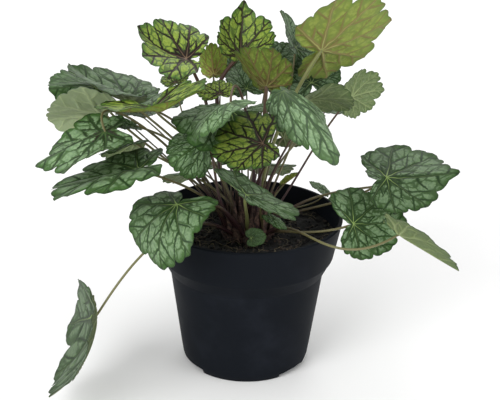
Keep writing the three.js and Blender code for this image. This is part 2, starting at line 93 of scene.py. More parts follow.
# Each leaf: at is where its stalk meets the blade, in millimetres. In degrees, aim is the blade's heading,
# pitch and roll, and form its fold, curl and droop. Root is the stalk's azimuth and radius on the crown. The
# stalk starts lean degrees from upright and comes in along end, an azimuth and an elevation; reach says how
# far the two directions hold, as shares of the way. Skew lengthens the side right of the tip, tip draws the
# tip out and lobed is the lobes' depth. Then the looks: tone makes the whole blade lighter or darker, partly
# the leaf's own brightness and partly painted light and shade, a leaf lying in shadow or in light drawn
# darker or lighter in colour; purple is the flush beside the veins, silvered the pale cells, sage a grey
# bloom, ribbed the pale main veins, stalk the stalk's brown and thick its radius.
LOOKS = dict(tone_and_shade=0, purple=0.12, silvered=1, sage=0, ribbed=0.8, stalk=0.55)
PLAIN_LEAF = dict(kind="silver", width=1, skew=0, tip=0, reach=(0.38, 0.33), **LOOKS)
LEAVES = dict(
    top_left=dict(kind="lime", at=(-42.5, 7, 215), aim=(173, 8, -14), length=41, width=1.1,
        form=(26, -34, -50), root=(141, 8.5), skew=-0.04, lean=51, end=(207, 59), reach=(0.2, 0.49),
        tone_and_shade=0.04, purple=1, thick=1.3, stalk=1),
    top_middle=dict(kind="lime", at=(-7, 23, 213.5), aim=(92, 38, 6), length=35, form=(24, 38, -49),
        root=(220, 3), skew=0.11, tip=0.12, lean=0, end=(-13, 45), reach=(0.57, 0.48), purple=1, stalk=1,
        thick=1.5, sage=0.04),
    top_right=dict(kind="lime", at=(46, 9, 222.5), aim=(17, 13, -55), length=54, form=(6, -9, -12),
        root=(40, 8.5), skew=0.12, lean=0, end=(-19, 60), reach=(0.37, 0.29), tone_and_shade=-0.06, purple=0.3,
        stalk=0, sage=0.12, thick=1.4, ribbed=2.2),
    middle_upright=dict(kind="lime", at=(10.5, -3, 200.5), aim=(-142, 55, 32), length=35, width=0.86,
        form=(32, 12, -5), root=(294, 15), skew=0.07, lean=0, end=(-99, 88), reach=(0.31, 0.12), tone_and_shade=-0.7,
        purple=0.9, thick=1.4, stalk=0.9, ribbed=1),
    small_upright=dict(kind="lime", at=(-25.5, 30, 197.5), aim=(-102, 74, 16), length=23, form=(46, 18, -21),
        root=(164, 5), skew=-0.09, lean=12, end=(-168, 85), reach=(0.36, 0.44), tone_and_shade=0.8, purple=1),
    left_arch=dict(kind="lime", at=(-61, -43.5, 198), aim=(-71, 6, 10), length=49, width=1.01,
        form=(17, -3, -30), root=(228, 11), skew=0.03, lean=3, end=(-97, 37), reach=(0.49, 0.34), tone_and_shade=-0.05,
        purple=0.3, stalk=0.3),
    left_high=dict(at=(-79, -2, 187.5), aim=(163, 8, 12), length=50, width=1.05, form=(30, -30, -28),
        root=(186, 10.5), skew=-0.17, lean=25, end=(155, 36), reach=(0.6, 0.26), tone_and_shade=-0.18, sage=0.04,
        stalk=0.4, ribbed=0.2),
    left_far=dict(at=(-104, 19, 190), aim=(-137, 20, -32), length=36, width=1.07, form=(-35, 18, 34),
        root=(162, 11.5), skew=0.03, lean=2, end=(-163, 88), reach=(0.18, 0.21), silvered=0.4, stalk=0.4),
    left_pale=dict(at=(-97.5, -9, 180), aim=(177, -5, 61), length=36, form=(-17, 7, 11), root=(176, 14.5),
        skew=-0.28, lobed=0.03, lean=24, end=(192, 20), reach=(0.6, 0.52), tone_and_shade=0.9, silvered=0.3, sage=0.5,
        stalk=0.4, ribbed=0.2),
    left_middle=dict(at=(-90.5, -56, 185.5), aim=(-167, -16, 4), length=49, width=1.1, form=(-17, 35, 21),
        root=(191, 15), skew=0.03, lobed=0.14, lean=16, end=(-56, -40), reach=(0.46, 0.4), purple=0.9,
        tone_and_shade=0.42, stalk=0.5, ribbed=0.2),
    left_low=dict(at=(-70, -58, 162), aim=(176, -14, 6), length=57, width=1.06, form=(17, -25, 7),
        root=(206, 15), skew=-0.26, lobed=0.16, lean=7, end=(-158, 34), reach=(0.34, 0.14), tone_and_shade=0.35,
        stalk=0.5),
    front_left=dict(at=(-45, -66, 141), aim=(-135, -26, 14), length=45, width=1.17, form=(0, 1, 84),
        root=(262, 15), lean=29, reach=(0.6, 0.2), tone_and_shade=0.12, stalk=0.7, ribbed=0.9),
    hanging_left=dict(at=(-97, -76, 66), aim=(-91, -68, 77), length=63, width=0.8, form=(9, 4, -55),
        root=(234, 15), skew=0.3, lobed=0.14, lean=46, reach=(0.57, 0.25), stalk=0.4, tone_and_shade=-0.66, sage=0.06,
        ribbed=1.8),
    right_arch=dict(at=(21, -39, 209), aim=(-61, -1, 23), length=64, width=0.58, form=(-37, -70, 96),
        root=(56, 5), skew=-0.17, lobed=0.14, lean=12, end=(-89, 7), reach=(0.31, 0.4), tone_and_shade=0.32, sage=0.1,
        ribbed=0.2),
    right_dark=dict(at=(38, 4, 189.5), aim=(26, -1, -38), length=31, width=0.95, form=(-12, 17, 46),
        root=(14, 6), skew=0.34, lean=10, end=(49, 65), reach=(0.51, 0.42), stalk=0.9),
    right_pale=dict(at=(69.5, 37, 181), aim=(38, 7, -81), length=26, width=0.98, form=(2, -23, 31),
        root=(355, 10), skew=0.12, lobed=0.14, lean=60, end=(35, 34), reach=(0.22, 0.32), tone_and_shade=0.3,
        stalk=0.9, ribbed=0.4),
    back_right=dict(at=(42, 41, 189), aim=(118, 52, -3), length=30, form=(4, 0, 11), root=(307, 10), lean=19,
        end=(75, 56), reach=(0.16, 0.29), tone_and_shade=-0.3),
    back_point=dict(at=(30, 29.5, 217), aim=(102, 39, 52), length=30, form=(9, 4, 11), root=(62, 11), lean=4,
        end=(84, 64), reach=(0.58, 0.4), tone_and_shade=-0.15),
    middle_hanging=dict(at=(-12.5, -52.5, 205.5), aim=(-146, -10, 19), length=35, form=(-11, 13, 53),
        root=(324, 6.5), skew=0.07, lean=0, end=(-92, -22), reach=(0.59, 0.48), tone_and_shade=0.35, sage=0.08,
        stalk=0.9, ribbed=0.5),
    middle_dark=dict(at=(-13.5, -20, 189), aim=(-150, 3, -9), length=42, width=0.97, form=(-14, -4, 13),
        root=(298, 3), skew=-0.3, lean=14, end=(-197, 86), reach=(0.5, 0.22), stalk=1),
    middle_low=dict(at=(-29, -36, 173.5), aim=(-119, -2, -45), length=34, width=0.81, form=(-41, 0, 33),
        root=(252, 12), skew=-0.08, lean=47, end=(-127, 37), reach=(0.55, 0.3), tone_and_shade=0.45, stalk=0.9),
    middle_lime=dict(kind="lime", at=(8.5, -67, 184), aim=(184, -16, -26), length=33, form=(7, -11, -2),
        root=(273, 7), skew=0.17, lean=3, end=(-112, 25), reach=(0.48, 0.48), tone_and_shade=-0.52, purple=0.7,
        stalk=0.9),
    front_small=dict(at=(-1.5, -63.5, 148), aim=(31, -31, 7), length=45, width=0.84, form=(-1, 11, -9),
        root=(271, 11.5), skew=-0.18, lean=25, end=(-86, 50), reach=(0.4, 0.33), stalk=-1, thick=1.1,
        tone_and_shade=0.3, ribbed=2),
    seedling=dict(at=(2.5, -37, 106), aim=(5, 8, 52), length=10.5, width=0.82, form=(10, 8, 10),
        root=(277, 15), lean=39, reach=(0.34, 0.19), silvered=0.3, tone_and_shade=0.12, sage=0.08, stalk=0,
        ribbed=1.5),
    soil_small=dict(at=(15, -38.5, 122), aim=(-32, -20, -12), length=14, width=0.78, form=(0, -16, 12),
        root=(310, 15), lean=24, reach=(0.43, 0.41), silvered=0.8, tone_and_shade=0.05),
    right_big=dict(at=(92, -14, 142), aim=(1, -1, 26), length=43, form=(-16, 2, -14), root=(47, 15),
        skew=-0.2, tip=0.14, lean=60, end=(-70, 40), reach=(0.34, 0.6), tone_and_shade=-0.28, ribbed=0.9),
    right_low=dict(at=(70.5, -26.5, 113), aim=(26, -10, 50), length=39, width=0.9, form=(-3, -31, -21),
        root=(338, 15), skew=-0.12, lean=28, end=(18, 13.5), reach=(0.12, 0.6)),
    right_edge=dict(at=(98, -55, 119), aim=(-22, -23, -34), length=45, form=(25, -37, 5), root=(322.5, 15),
        skew=-0.09, lean=43, end=(22, 25.5), reach=(0.39, 0.6), stalk=0.45, tone_and_shade=0.02, silvered=0.5),
    back_rim=dict(at=(53.5, 30, 113), aim=(163, 33, 10), length=13, form=(7, -12, 13), root=(74, 14.5),
        lean=16, end=(60, 74), reach=(0.19, 0.28)),
    under_arch=dict(at=(-74.5, 6.5, 176.5), aim=(179, 5, 3), length=16, form=(6, 1, 20), root=(141, 15),
        lean=0, end=(-176, 37), reach=(0.2, 0.12)),
    left_tucked=dict(at=(-76.5, -15.5, 175), aim=(-153, 15, -3), length=13, form=(6, 3, 17), root=(156, 15),
        lean=34, end=(-129, 43), reach=(0.39, 0.39)),
    narrow_right=dict(at=(24, 46, 147), aim=(1, -1, -71), length=18, width=0.8, form=(10, 0, 5),
        root=(61, 15), lean=12, reach=(0.32, 0.18)),
    inner_right=dict(kind="lime", at=(25, 20, 123), aim=(22, 30, -40), length=13, width=0.9, form=(12, 0, 5),
        root=(35, 13.5), lean=17, reach=(0.5, 0.26)),
    middle_back=dict(at=(-2.5, 16, 177.5), aim=(-59, 18, 2), length=22, form=(6, 0, 15), root=(109, 5.5),
        lean=18, end=(-39, 67), reach=(0.26, 0.32)),
    top_back=dict(at=(17.5, 41, 205), aim=(59, 33, 16), length=18, form=(8, 0, 15), root=(85, 8), lean=16,
        end=(77, 50), reach=(0.18, 0.26)),
    front_tucked=dict(at=(9.5, -31, 128.5), aim=(-27, 6, -6), length=13, form=(8, 0, 15), root=(333, 11),
        lean=47, end=(-46, 34), reach=(0.25, 0.14)),
    centre_lime=dict(kind="lime", at=(-20, 0, 193.5), aim=(95, 21, -8), length=17, form=(4, -5, 16),
        root=(208, 11), skew=-0.16, lean=23, end=(54, 88), reach=(0.31, 0.48), tone_and_shade=0.05, purple=0.8),
    left_under=dict(at=(-75.5, -18.5, 165), aim=(-162, -10, 31), length=25, form=(-16, 7, 12), root=(240, 7),
        lean=13, end=(-141, 41), reach=(0.35, 0.41), tone_and_shade=0.3, stalk=0.4),
    centre_dark=dict(at=(-2.5, 29.5, 187.5), aim=(120, 40, 0), length=21, form=(15, 0, 21), root=(80, 1),
        lean=11, end=(230, 86), reach=(0.33, 0.52), tone_and_shade=-0.35),
    behind_middle=dict(at=(-14, 50, 194), aim=(97, 36, -2), length=22, form=(12, 0, 18), root=(220, 15),
        lean=14, end=(94, 45), reach=(0.19, 0.48), tone_and_shade=-0.3),
    behind_left=dict(kind="lime", at=(-51, 26.5, 192), aim=(106, 20, -11), length=13, form=(10, 0, 18),
        root=(201, 7.5), lean=16, end=(176, 81), reach=(0.2, 0.55), tone_and_shade=-0.2, purple=0.5),
    far_low_left=dict(at=(-35, 58, 116), aim=(126, -20, -2), length=32, width=1.05, form=(6, 0, 35),
        root=(115, 15), lean=39),
    far_low_middle=dict(at=(5, 62, 121), aim=(78, -21, 4), length=35, width=1.05, form=(6, 0, 35),
        root=(99, 14.5), lean=39, reach=(0.44, 0.3)),
    far_middle=dict(at=(-20, 48, 150), aim=(110, 5, 0), length=35, width=1.05, form=(6, 0, 35),
        root=(106, 11), lean=16, end=(109, 28), reach=(0.36, 0.4)),
    far_high=dict(kind="lime", at=(10.5, 54.5, 181), aim=(80, 11, 1), length=26, width=1.05, form=(8, 0, 35),
        root=(85, 12), lean=14, reach=(0.35, 0.29)),
    far_right=dict(at=(53, 53, 165), aim=(49, -8, -2), length=25, width=1.05, form=(8, 0, 30), root=(21, 11),
        lean=0, end=(53, 23), reach=(0.44, 0.55)),
    far_left=dict(at=(-67, 38, 169), aim=(137, 1, -2), length=34, width=1.05, form=(8, 0, 35),
        root=(125, 12), lean=22, end=(164, 19), reach=(0.22, 0.52)),
    far_low_right=dict(at=(98, 30, 120), aim=(20, -10, 0), length=34, width=1.05, form=(8, 0, 30),
        root=(18, 15), lean=45, end=(22, 4), reach=(0.39, 0.32)),
)


# ---- helpers

# What many map ranges share: a soft step, and a fall from 1 to 0
SMOOTH_STEP = dict(interpolation_type="SMOOTHSTEP")
FALLING = {"To Min": 1, "To Max": 0}


def linear(code):
    """An sRGB hex colour as the linear values that Blender's sockets take"""
    values = [int(code[i:i + 2], 16) / 255 for i in (0, 2, 4)]
    return tuple(v / 12.92 if v <= 0.04045 else ((v + 0.055) / 1.055) ** 2.4 for v in values) + (1.0,)


def add(tree, kind, inputs=None, **settings):
    """Adds one node: settings are its properties, inputs its sockets' values or what is linked to them"""
    node = tree.nodes.new(kind if kind.startswith("NodeGroup") else "ShaderNode" + kind)
    for name, value in settings.items():
        setattr(node, name, value)
    for socket, value in (inputs or {}).items():
        if isinstance(value, bpy.types.Node):
            value = next(output for output in value.outputs if output.enabled)
        if isinstance(value, bpy.types.NodeSocket):
            tree.links.new(value, node.inputs[socket])
        else:
            node.inputs[socket].default_value = value
    return node


def material(name):
    """An empty material, and its node tree"""
    made = bpy.data.materials.new(name)
    made.use_nodes = True
    made.node_tree.nodes.clear()
    return made, made.node_tree


def finish_material(made, sockets):
    """Ends a material with its shader, whose sockets take plain values or what is linked to them"""
    shader = add(made.node_tree, "BsdfPrincipled", sockets)
    add(made.node_tree, "OutputMaterial", {"Surface": shader})
    return made


def finish_piece(name, bm, materials, replaced, sharp=60):
    """Makes the piece's object from its bmesh, smooth shaded, on the root body, and hides what it replaces"""
    mesh = bpy.data.meshes.new(name)
    bm.to_mesh(mesh)
    bm.free()
    mesh.shade_smooth()
    mesh.set_sharp_from_angle(angle=math.radians(sharp))
    for each in materials:
        mesh.materials.append(each)
    piece = bpy.data.objects.new(name, mesh)
    bpy.context.scene.collection.objects.link(piece)
    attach(piece, "root")
    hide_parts(replaced)
    return piece


# ---- leaf form, in millimetres and degrees

def edge(leaf, phi):
    """How far the edge lies from the stalk, as a share of the blade's length; phi is measured from the tip"""
    depth = leaf.get("lobed", LOBE_DEPTH[leaf["kind"]])
    angle = np.abs((phi + 180) % 360 - 180)
    base = np.interp(angle, [a for a, _ in BASE_OUTLINE], [r for _, r in BASE_OUTLINE])
    lobes = 1 - depth + depth * np.abs(np.cos(math.pi * phi / LOBE)) ** 0.6
    teeth = 1 - TOOTH_DEPTH + TOOTH_DEPTH * np.abs(np.cos(math.pi * phi / TOOTH)) ** 0.6
    return base * lobes * teeth


def smooth(value, low, high):
    """0 up to low, 1 from high on and a soft step between them"""
    share = np.clip((value - low) / (high - low), 0, 1)
    return share * share * (3 - 2 * share)


def vein_relief(x, y):
    """1 on a main vein, less on a side vein, 0 between them; x and y are shares of the blade's length"""
    r = np.hypot(x, y)
    phi = np.degrees(np.arctan2(x, y))
    sector = np.clip(np.round(phi / LOBE), -SIDE_LOBES, SIDE_LOBES)
    delta = np.radians(phi - sector * LOBE)
    along = r * np.cos(delta)
    off = np.abs(r * np.sin(delta))
    main = 1 - smooth(off, 0, 2.2 * MAIN_WIDTH * (1.15 - 0.8 * np.clip(along, 0, 1)))
    start = along - SIDE_SLOPE * off - SIDE_CURVE * off ** 2
    count = start / SIDE_SPACING + 0.5 * (delta > 0) + SIDE_SHIFT * sector
    gap = np.abs(count - np.round(count)) * SIDE_SPACING * 0.7
    side = (1 - smooth(gap, 0, 2.6 * SIDE_WIDTH)) * smooth(start, 0.02, 0.08) * (1 - smooth(off, 0.2, 0.42))
    return np.maximum(main, 0.75 * side)


def turn_matrix(leaf):
    """Turns the flat blade, which points along y and faces up, to its aim"""
    heading, pitch, roll = (math.radians(angle) for angle in leaf["aim"])
    turn = Matrix.Rotation(heading - math.pi / 2, 3, "Z") @ Matrix.Rotation(pitch, 3, "X")
    return turn @ Matrix.Rotation(roll, 3, "Y")


def chord(length, turn):
    """The straight length of a strip bent by twice that turn"""
    return length * np.sinc(turn / math.pi)


def blade_points(leaf, share, phi, side):
    """Where the blade's points lie. Flat, a point is at share of the way out to the edge; side is 1 on the
    upper face and -1 on the lower one. The blade is waved, quilted between its veins, folded up at its
    midrib, curled across, bent down along its length and then aimed."""
    length, width = leaf["length"], leaf["width"]
    fold, curl, droop = leaf["form"]
    angle = np.radians(phi)
    spread = edge(leaf, phi) * share
    pointed = 1 + leaf["tip"] * np.exp(-(phi / 7) ** 2)
    r = spread * length * (1 + leaf["skew"] * np.sin(angle)) * pointed
    out = (r / length) ** 2
    x = r * np.sin(angle) * width
    y = r * np.cos(angle)
    wave = 0.03 * length * out * np.cos(5 * angle)
    ruffle = 0.012 * length * share ** 5 * np.cos(13 * angle + leaf["phase"])
    relief = vein_relief(spread * np.sin(angle), spread * np.cos(angle))
    inward = smooth(share, 0, 0.12)
    quilt = (0.011 * length + 0.25) * (0.5 - relief) * inward * (1 - 0.5 * share ** 4)
    rib = 0.45 * relief * (1 - 0.85 * share) * (side < 0)
    thick = BLADE_MIDDLE + (BLADE_MARGIN - BLADE_MIDDLE) * share ** 2
    z = wave + ruffle + quilt + side * (thick / 2 + rib)

    half = np.abs(x)
    turn = math.radians(curl) / (0.8 * length) * half / 2
    rise = math.radians(fold) * (1 - np.exp(-half / (0.08 * length))) + turn
    across = chord(half, turn)
    x = np.sign(x) * (across * np.cos(rise) - z * np.sin(rise + turn))
    z = across * np.sin(rise) + z * np.cos(rise + turn)

    bend = math.radians(droop) / length * y / 2
    along = chord(y, bend)
    y = along * np.cos(bend) + z * np.sin(2 * bend)
    z = -along * np.sin(bend) + z * np.cos(2 * bend)
    turned = np.stack([x, y, z], axis=-1) @ np.array(turn_matrix(leaf)).T
    return turned + np.array(leaf["at"], float)


def crown_height(x, y):
    """The top of the domed crown"""
    return CROWN["top"] - CROWN["fall"] * (x * x + (y - CROWN["y"]) ** 2) / CROWN["radius"] ** 2


def direction(azimuth, elevation):
    """One unit long, that way, in radians"""
    return Vector((math.cos(azimuth) * math.cos(elevation), math.sin(azimuth) * math.cos(elevation),
                   math.sin(elevation)))


def stalk_points(leaf):
    """The stalk's line: it leaves the crown at its lean from upright and comes into the blade along end"""
    azimuth, radius = leaf["root"]
    x = radius * math.cos(math.radians(azimuth))
    y = CROWN["y"] + radius * math.sin(math.radians(azimuth))
    root = Vector((x, y, crown_height(x, y)))
    blade = Vector(leaf["at"])
    way = blade - root
    start = direction(math.atan2(way.y, way.x), math.radians(90 - leaf["lean"]))
    turn = turn_matrix(leaf)
    end = turn @ Vector((0, 1, 0)) * 0.5 + way.normalized() * 0.6
    if "end" in leaf:
        end = direction(*(math.radians(angle) for angle in leaf["end"]))
    end.normalize()
    first, last = leaf["reach"]
    corners = (root - start * STALK_SINK, root + start * first * way.length,
               blade - end * last * way.length, blade - (turn @ Vector((0, 0, 1))) * 0.5 + end * 0.6)
    points = []
    for t in np.linspace(0, 1, STALK_STEPS + 1).tolist():
        weights = ((1 - t) ** 3, 3 * t * (1 - t) ** 2, 3 * t * t * (1 - t), t ** 3)
        points.append(sum((corner * weight for corner, weight in zip(corners, weights)), Vector()))
    return points


def stalk_radius(leaf):
    """Its own, or one that suits the blade"""
    plain = 0.92 if leaf["length"] > 32 else 0.8 if leaf["length"] > 22 else 0.6
    return leaf.get("thick", plain)


# ---- shaping

def grow_tube(bm, points, radii, sides):
    """A round tube through the points, drawn out ring by ring and closed at both ends"""
    layer = bm.verts.layers.float.get("along")
    tangent = (points[1] - points[0]).normalized()
    normal = tangent.orthogonal().normalized()
    made = []
    for i, point in enumerate(points):
        ahead = (points[min(i + 1, len(points) - 1)] - points[max(i - 1, 0)]).normalized()
        normal.rotate(tangent.rotation_difference(ahead))
        tangent = ahead
        turn = Matrix((normal, tangent.cross(normal), tangent)).transposed().to_4x4()
        place = Matrix.Translation(point * MM) @ turn
        if i == 0:
            verts = bmesh.ops.create_circle(bm, segments=sides, radius=radii[0] * MM, matrix=place)["verts"]
            edges = list({e for v in verts for e in v.link_edges})
        else:
            grown = bmesh.ops.extrude_edge_only(bm, edges=edges)["geom"]
            verts = [g for g in grown if isinstance(g, bmesh.types.BMVert)]
            edges = [g for g in grown if isinstance(g, bmesh.types.BMEdge) and g.is_boundary]
            size = Matrix.Scale(radii[i] / radii[i - 1], 4)
            bmesh.ops.transform(bm, matrix=place @ size @ before.inverted(), verts=verts)
        before = place
        made += verts
        if layer is not None:
            for vert in verts:
                vert[layer] = i / (len(points) - 1)
    rims = list({e for v in made for e in v.link_edges if e.is_boundary})
    bmesh.ops.holes_fill(bm, edges=rims, sides=sides)
    return made


def paint(verts, index):
    """Gives the faces round these points one of the piece's materials"""
    for vert in verts:
        for face in vert.link_faces:
            face.material_index = index


# ---- materials

def drifted(tree, points, place, scale, reach):
    """The points moved sideways by a smooth noise, so that what is drawn on them wanders"""
    noise = add(tree, "TexNoise", {"Vector": place, "Scale": scale, "Detail": 2})
    middle = add(tree, "VectorMath", {0: noise.outputs["Color"], 1: (0.5, 0.5, 0.5)}, operation="SUBTRACT")
    return add(tree, "VectorMath", {0: middle, 1: (reach, reach, 0), 2: points}, operation="MULTIPLY_ADD")


def vein_pattern():
    """Where the veins run on the flat blade, read from its leaf map, in shares of the blade's length:
    three main veins at 40 degrees to each side of the midrib, side veins off each and a net between them."""
    tree = bpy.data.node_groups.new("heuchera veins", "ShaderNodeTree")
    for name in ("patch", "line", "net", "band", "swell", "grain", "hub", "thread"):
        tree.interface.new_socket(name=name, in_out="OUTPUT", socket_type="NodeSocketFloat")
    leaf_map = add(tree, "UVMap", uv_map="leaf")
    seed = add(tree, "Attribute", attribute_name="seed").outputs["Fac"]
    centred = add(tree, "VectorMath", {0: leaf_map, 1: (0.5, 0.5, 0)}, operation="SUBTRACT")
    flat = add(tree, "VectorMath", {0: centred, "Scale": 1 / UV_SHARE}, operation="SCALE")
    own = add(tree, "CombineXYZ", {"Z": seed})
    place = add(tree, "VectorMath", {0: flat, 1: own}, operation="ADD")
    moved = drifted(tree, flat, place, 4.5, 0.07)
    x, y, _ = add(tree, "SeparateXYZ", {0: moved}).outputs
    radius = add(tree, "VectorMath", {0: moved}, operation="LENGTH")
    angle = add(tree, "Math", {0: x, 1: y}, operation="ARCTAN2")
    sector = add(tree, "Math", {0: angle, 1: math.radians(LOBE)}, operation="DIVIDE")
    sector = add(tree, "Math", {0: sector}, operation="ROUND")
    sector = add(tree, "Clamp", {"Value": sector, "Min": -SIDE_LOBES, "Max": SIDE_LOBES})
    turned = add(tree, "Math", {0: sector, 1: -math.radians(LOBE), 2: angle}, operation="MULTIPLY_ADD")
    cosine = add(tree, "Math", {0: turned}, operation="COSINE")
    sine = add(tree, "Math", {0: turned}, operation="SINE")
    along = add(tree, "Math", {0: radius, 1: cosine}, operation="MULTIPLY")
    across = add(tree, "Math", {0: radius, 1: sine}, operation="MULTIPLY")
    off = add(tree, "Math", {0: across}, operation="ABSOLUTE")

    # How far the nearest main or side vein is
    main_width = add(tree, "MapRange", {"Value": along, "To Min": MAIN_WIDTH, "To Max": 0.25 * MAIN_WIDTH})
    main = add(tree, "Math", {0: off, 1: main_width}, operation="SUBTRACT")
    spread = add(tree, "Math", {0: off, 1: off}, operation="MULTIPLY")
    start = add(tree, "Math", {0: off, 1: -SIDE_SLOPE, 2: along}, operation="MULTIPLY_ADD")
    start = add(tree, "Math", {0: spread, 1: -SIDE_CURVE, 2: start}, operation="MULTIPLY_ADD")
    left = add(tree, "Math", {0: across, 1: 0}, operation="GREATER_THAN")
    count = add(tree, "Math", {0: start, 1: 1 / SIDE_SPACING}, operation="MULTIPLY")
    count = add(tree, "Math", {0: left, 1: 0.5, 2: count}, operation="MULTIPLY_ADD")
    count = add(tree, "Math", {0: sector, 1: SIDE_SHIFT, 2: count}, operation="MULTIPLY_ADD")
    gap = add(tree, "Math", {0: count, 1: 0.5}, operation="PINGPONG")
    gap = add(tree, "Math", {0: gap, 1: SIDE_SPACING * 0.7}, operation="MULTIPLY")
    side_width = add(tree, "MapRange", {"Value": off, "From Max": 0.4, "To Min": SIDE_WIDTH,
                                        "To Max": 0.3 * SIDE_WIDTH})
    side = add(tree, "Math", {0: gap, 1: side_width}, operation="SUBTRACT")
    begun = add(tree, "MapRange", {"Value": start, "From Max": 0.05, "To Min": 0.2, "To Max": 0})
    side = add(tree, "Math", {0: side, 1: begun}, operation="ADD")
    strong = add(tree, "Math", {0: main, 1: side}, operation="MINIMUM")

    # The net of small veins, finer near the stalk
    closer = add(tree, "Math", {0: radius, 1: 0.12}, operation="ADD")
    closer = add(tree, "Math", {0: closer, 1: -0.42}, operation="POWER")
    bent = drifted(tree, moved, place, 13, 0.06)
    drawn = add(tree, "VectorMath", {0: bent, "Scale": closer}, operation="SCALE")
    own_cells = add(tree, "VectorMath", {0: drawn, 1: own}, operation="ADD")
    cells = add(tree, "TexVoronoi", {"Vector": own_cells, "Scale": 1 / CELL, "Randomness": 0.85},
                voronoi_dimensions="3D", feature="DISTANCE_TO_EDGE")
    thin = add(tree, "Math", {0: cells, 1: CELL * 0.85, 2: -NET_WIDTH}, operation="MULTIPLY_ADD")

    # What the blades are painted with
    any_vein = add(tree, "Math", {0: strong, 1: thin}, operation="MINIMUM")
    ragged = add(tree, "TexNoise", {"Vector": place, "Scale": 26, "Detail": 3})
    hub = add(tree, "MapRange", {"Value": radius, "From Min": 0.02, "From Max": 0.34} | FALLING,
              **SMOOTH_STEP)
    beside = add(tree, "Math", {0: hub, 1: -WEB, 2: strong}, operation="MULTIPLY_ADD")
    uneven = add(tree, "Math", {0: ragged, 1: 0.05, 2: beside}, operation="MULTIPLY_ADD")
    clear = add(tree, "MapRange", {"Value": uneven, "From Min": 0.02, "From Max": 0.04}, **SMOOTH_STEP)
    uneven = add(tree, "Math", {0: ragged, 1: 0.02, 2: thin}, operation="MULTIPLY_ADD")
    meshes = add(tree, "MapRange", {"Value": uneven, "From Min": 0.008, "From Max": 0.022, "To Min": 0.3},
                 **SMOOTH_STEP)
    patch = add(tree, "Math", {0: clear, 1: meshes}, operation="MULTIPLY")
    swell = add(tree, "MapRange", {"Value": any_vein, "From Min": -0.01, "From Max": 0.055}, **SMOOTH_STEP)
    line = add(tree, "MapRange", {"Value": strong, "From Min": -0.006, "From Max": 0.006} | FALLING,
               **SMOOTH_STEP)
    net = add(tree, "MapRange", {"Value": thin, "From Min": -0.004, "From Max": 0.006} | FALLING,
              **SMOOTH_STEP)
    near = add(tree, "Math", {0: hub, 1: -0.6 * WEB, 2: strong}, operation="MULTIPLY_ADD")
    near = add(tree, "Math", {0: ragged, 1: 0.05, 2: near}, operation="MULTIPLY_ADD")
    band = add(tree, "MapRange", {"Value": near, "From Min": 0.018, "From Max": 0.042} | FALLING,
               **SMOOTH_STEP)
    thread = add(tree, "Math", {0: main_width, 1: 0.75}, operation="MULTIPLY")
    thread = add(tree, "Math", {0: main, 1: thread}, operation="ADD")
    thread = add(tree, "MapRange", {"Value": thread, "From Min": -0.003, "From Max": 0.003} | FALLING,
                 **SMOOTH_STEP)
    add(tree, "NodeGroupOutput", {"patch": patch, "line": line, "net": net, "band": band, "swell": swell,
                                  "grain": ragged, "hub": hub, "thread": thread})
    return tree


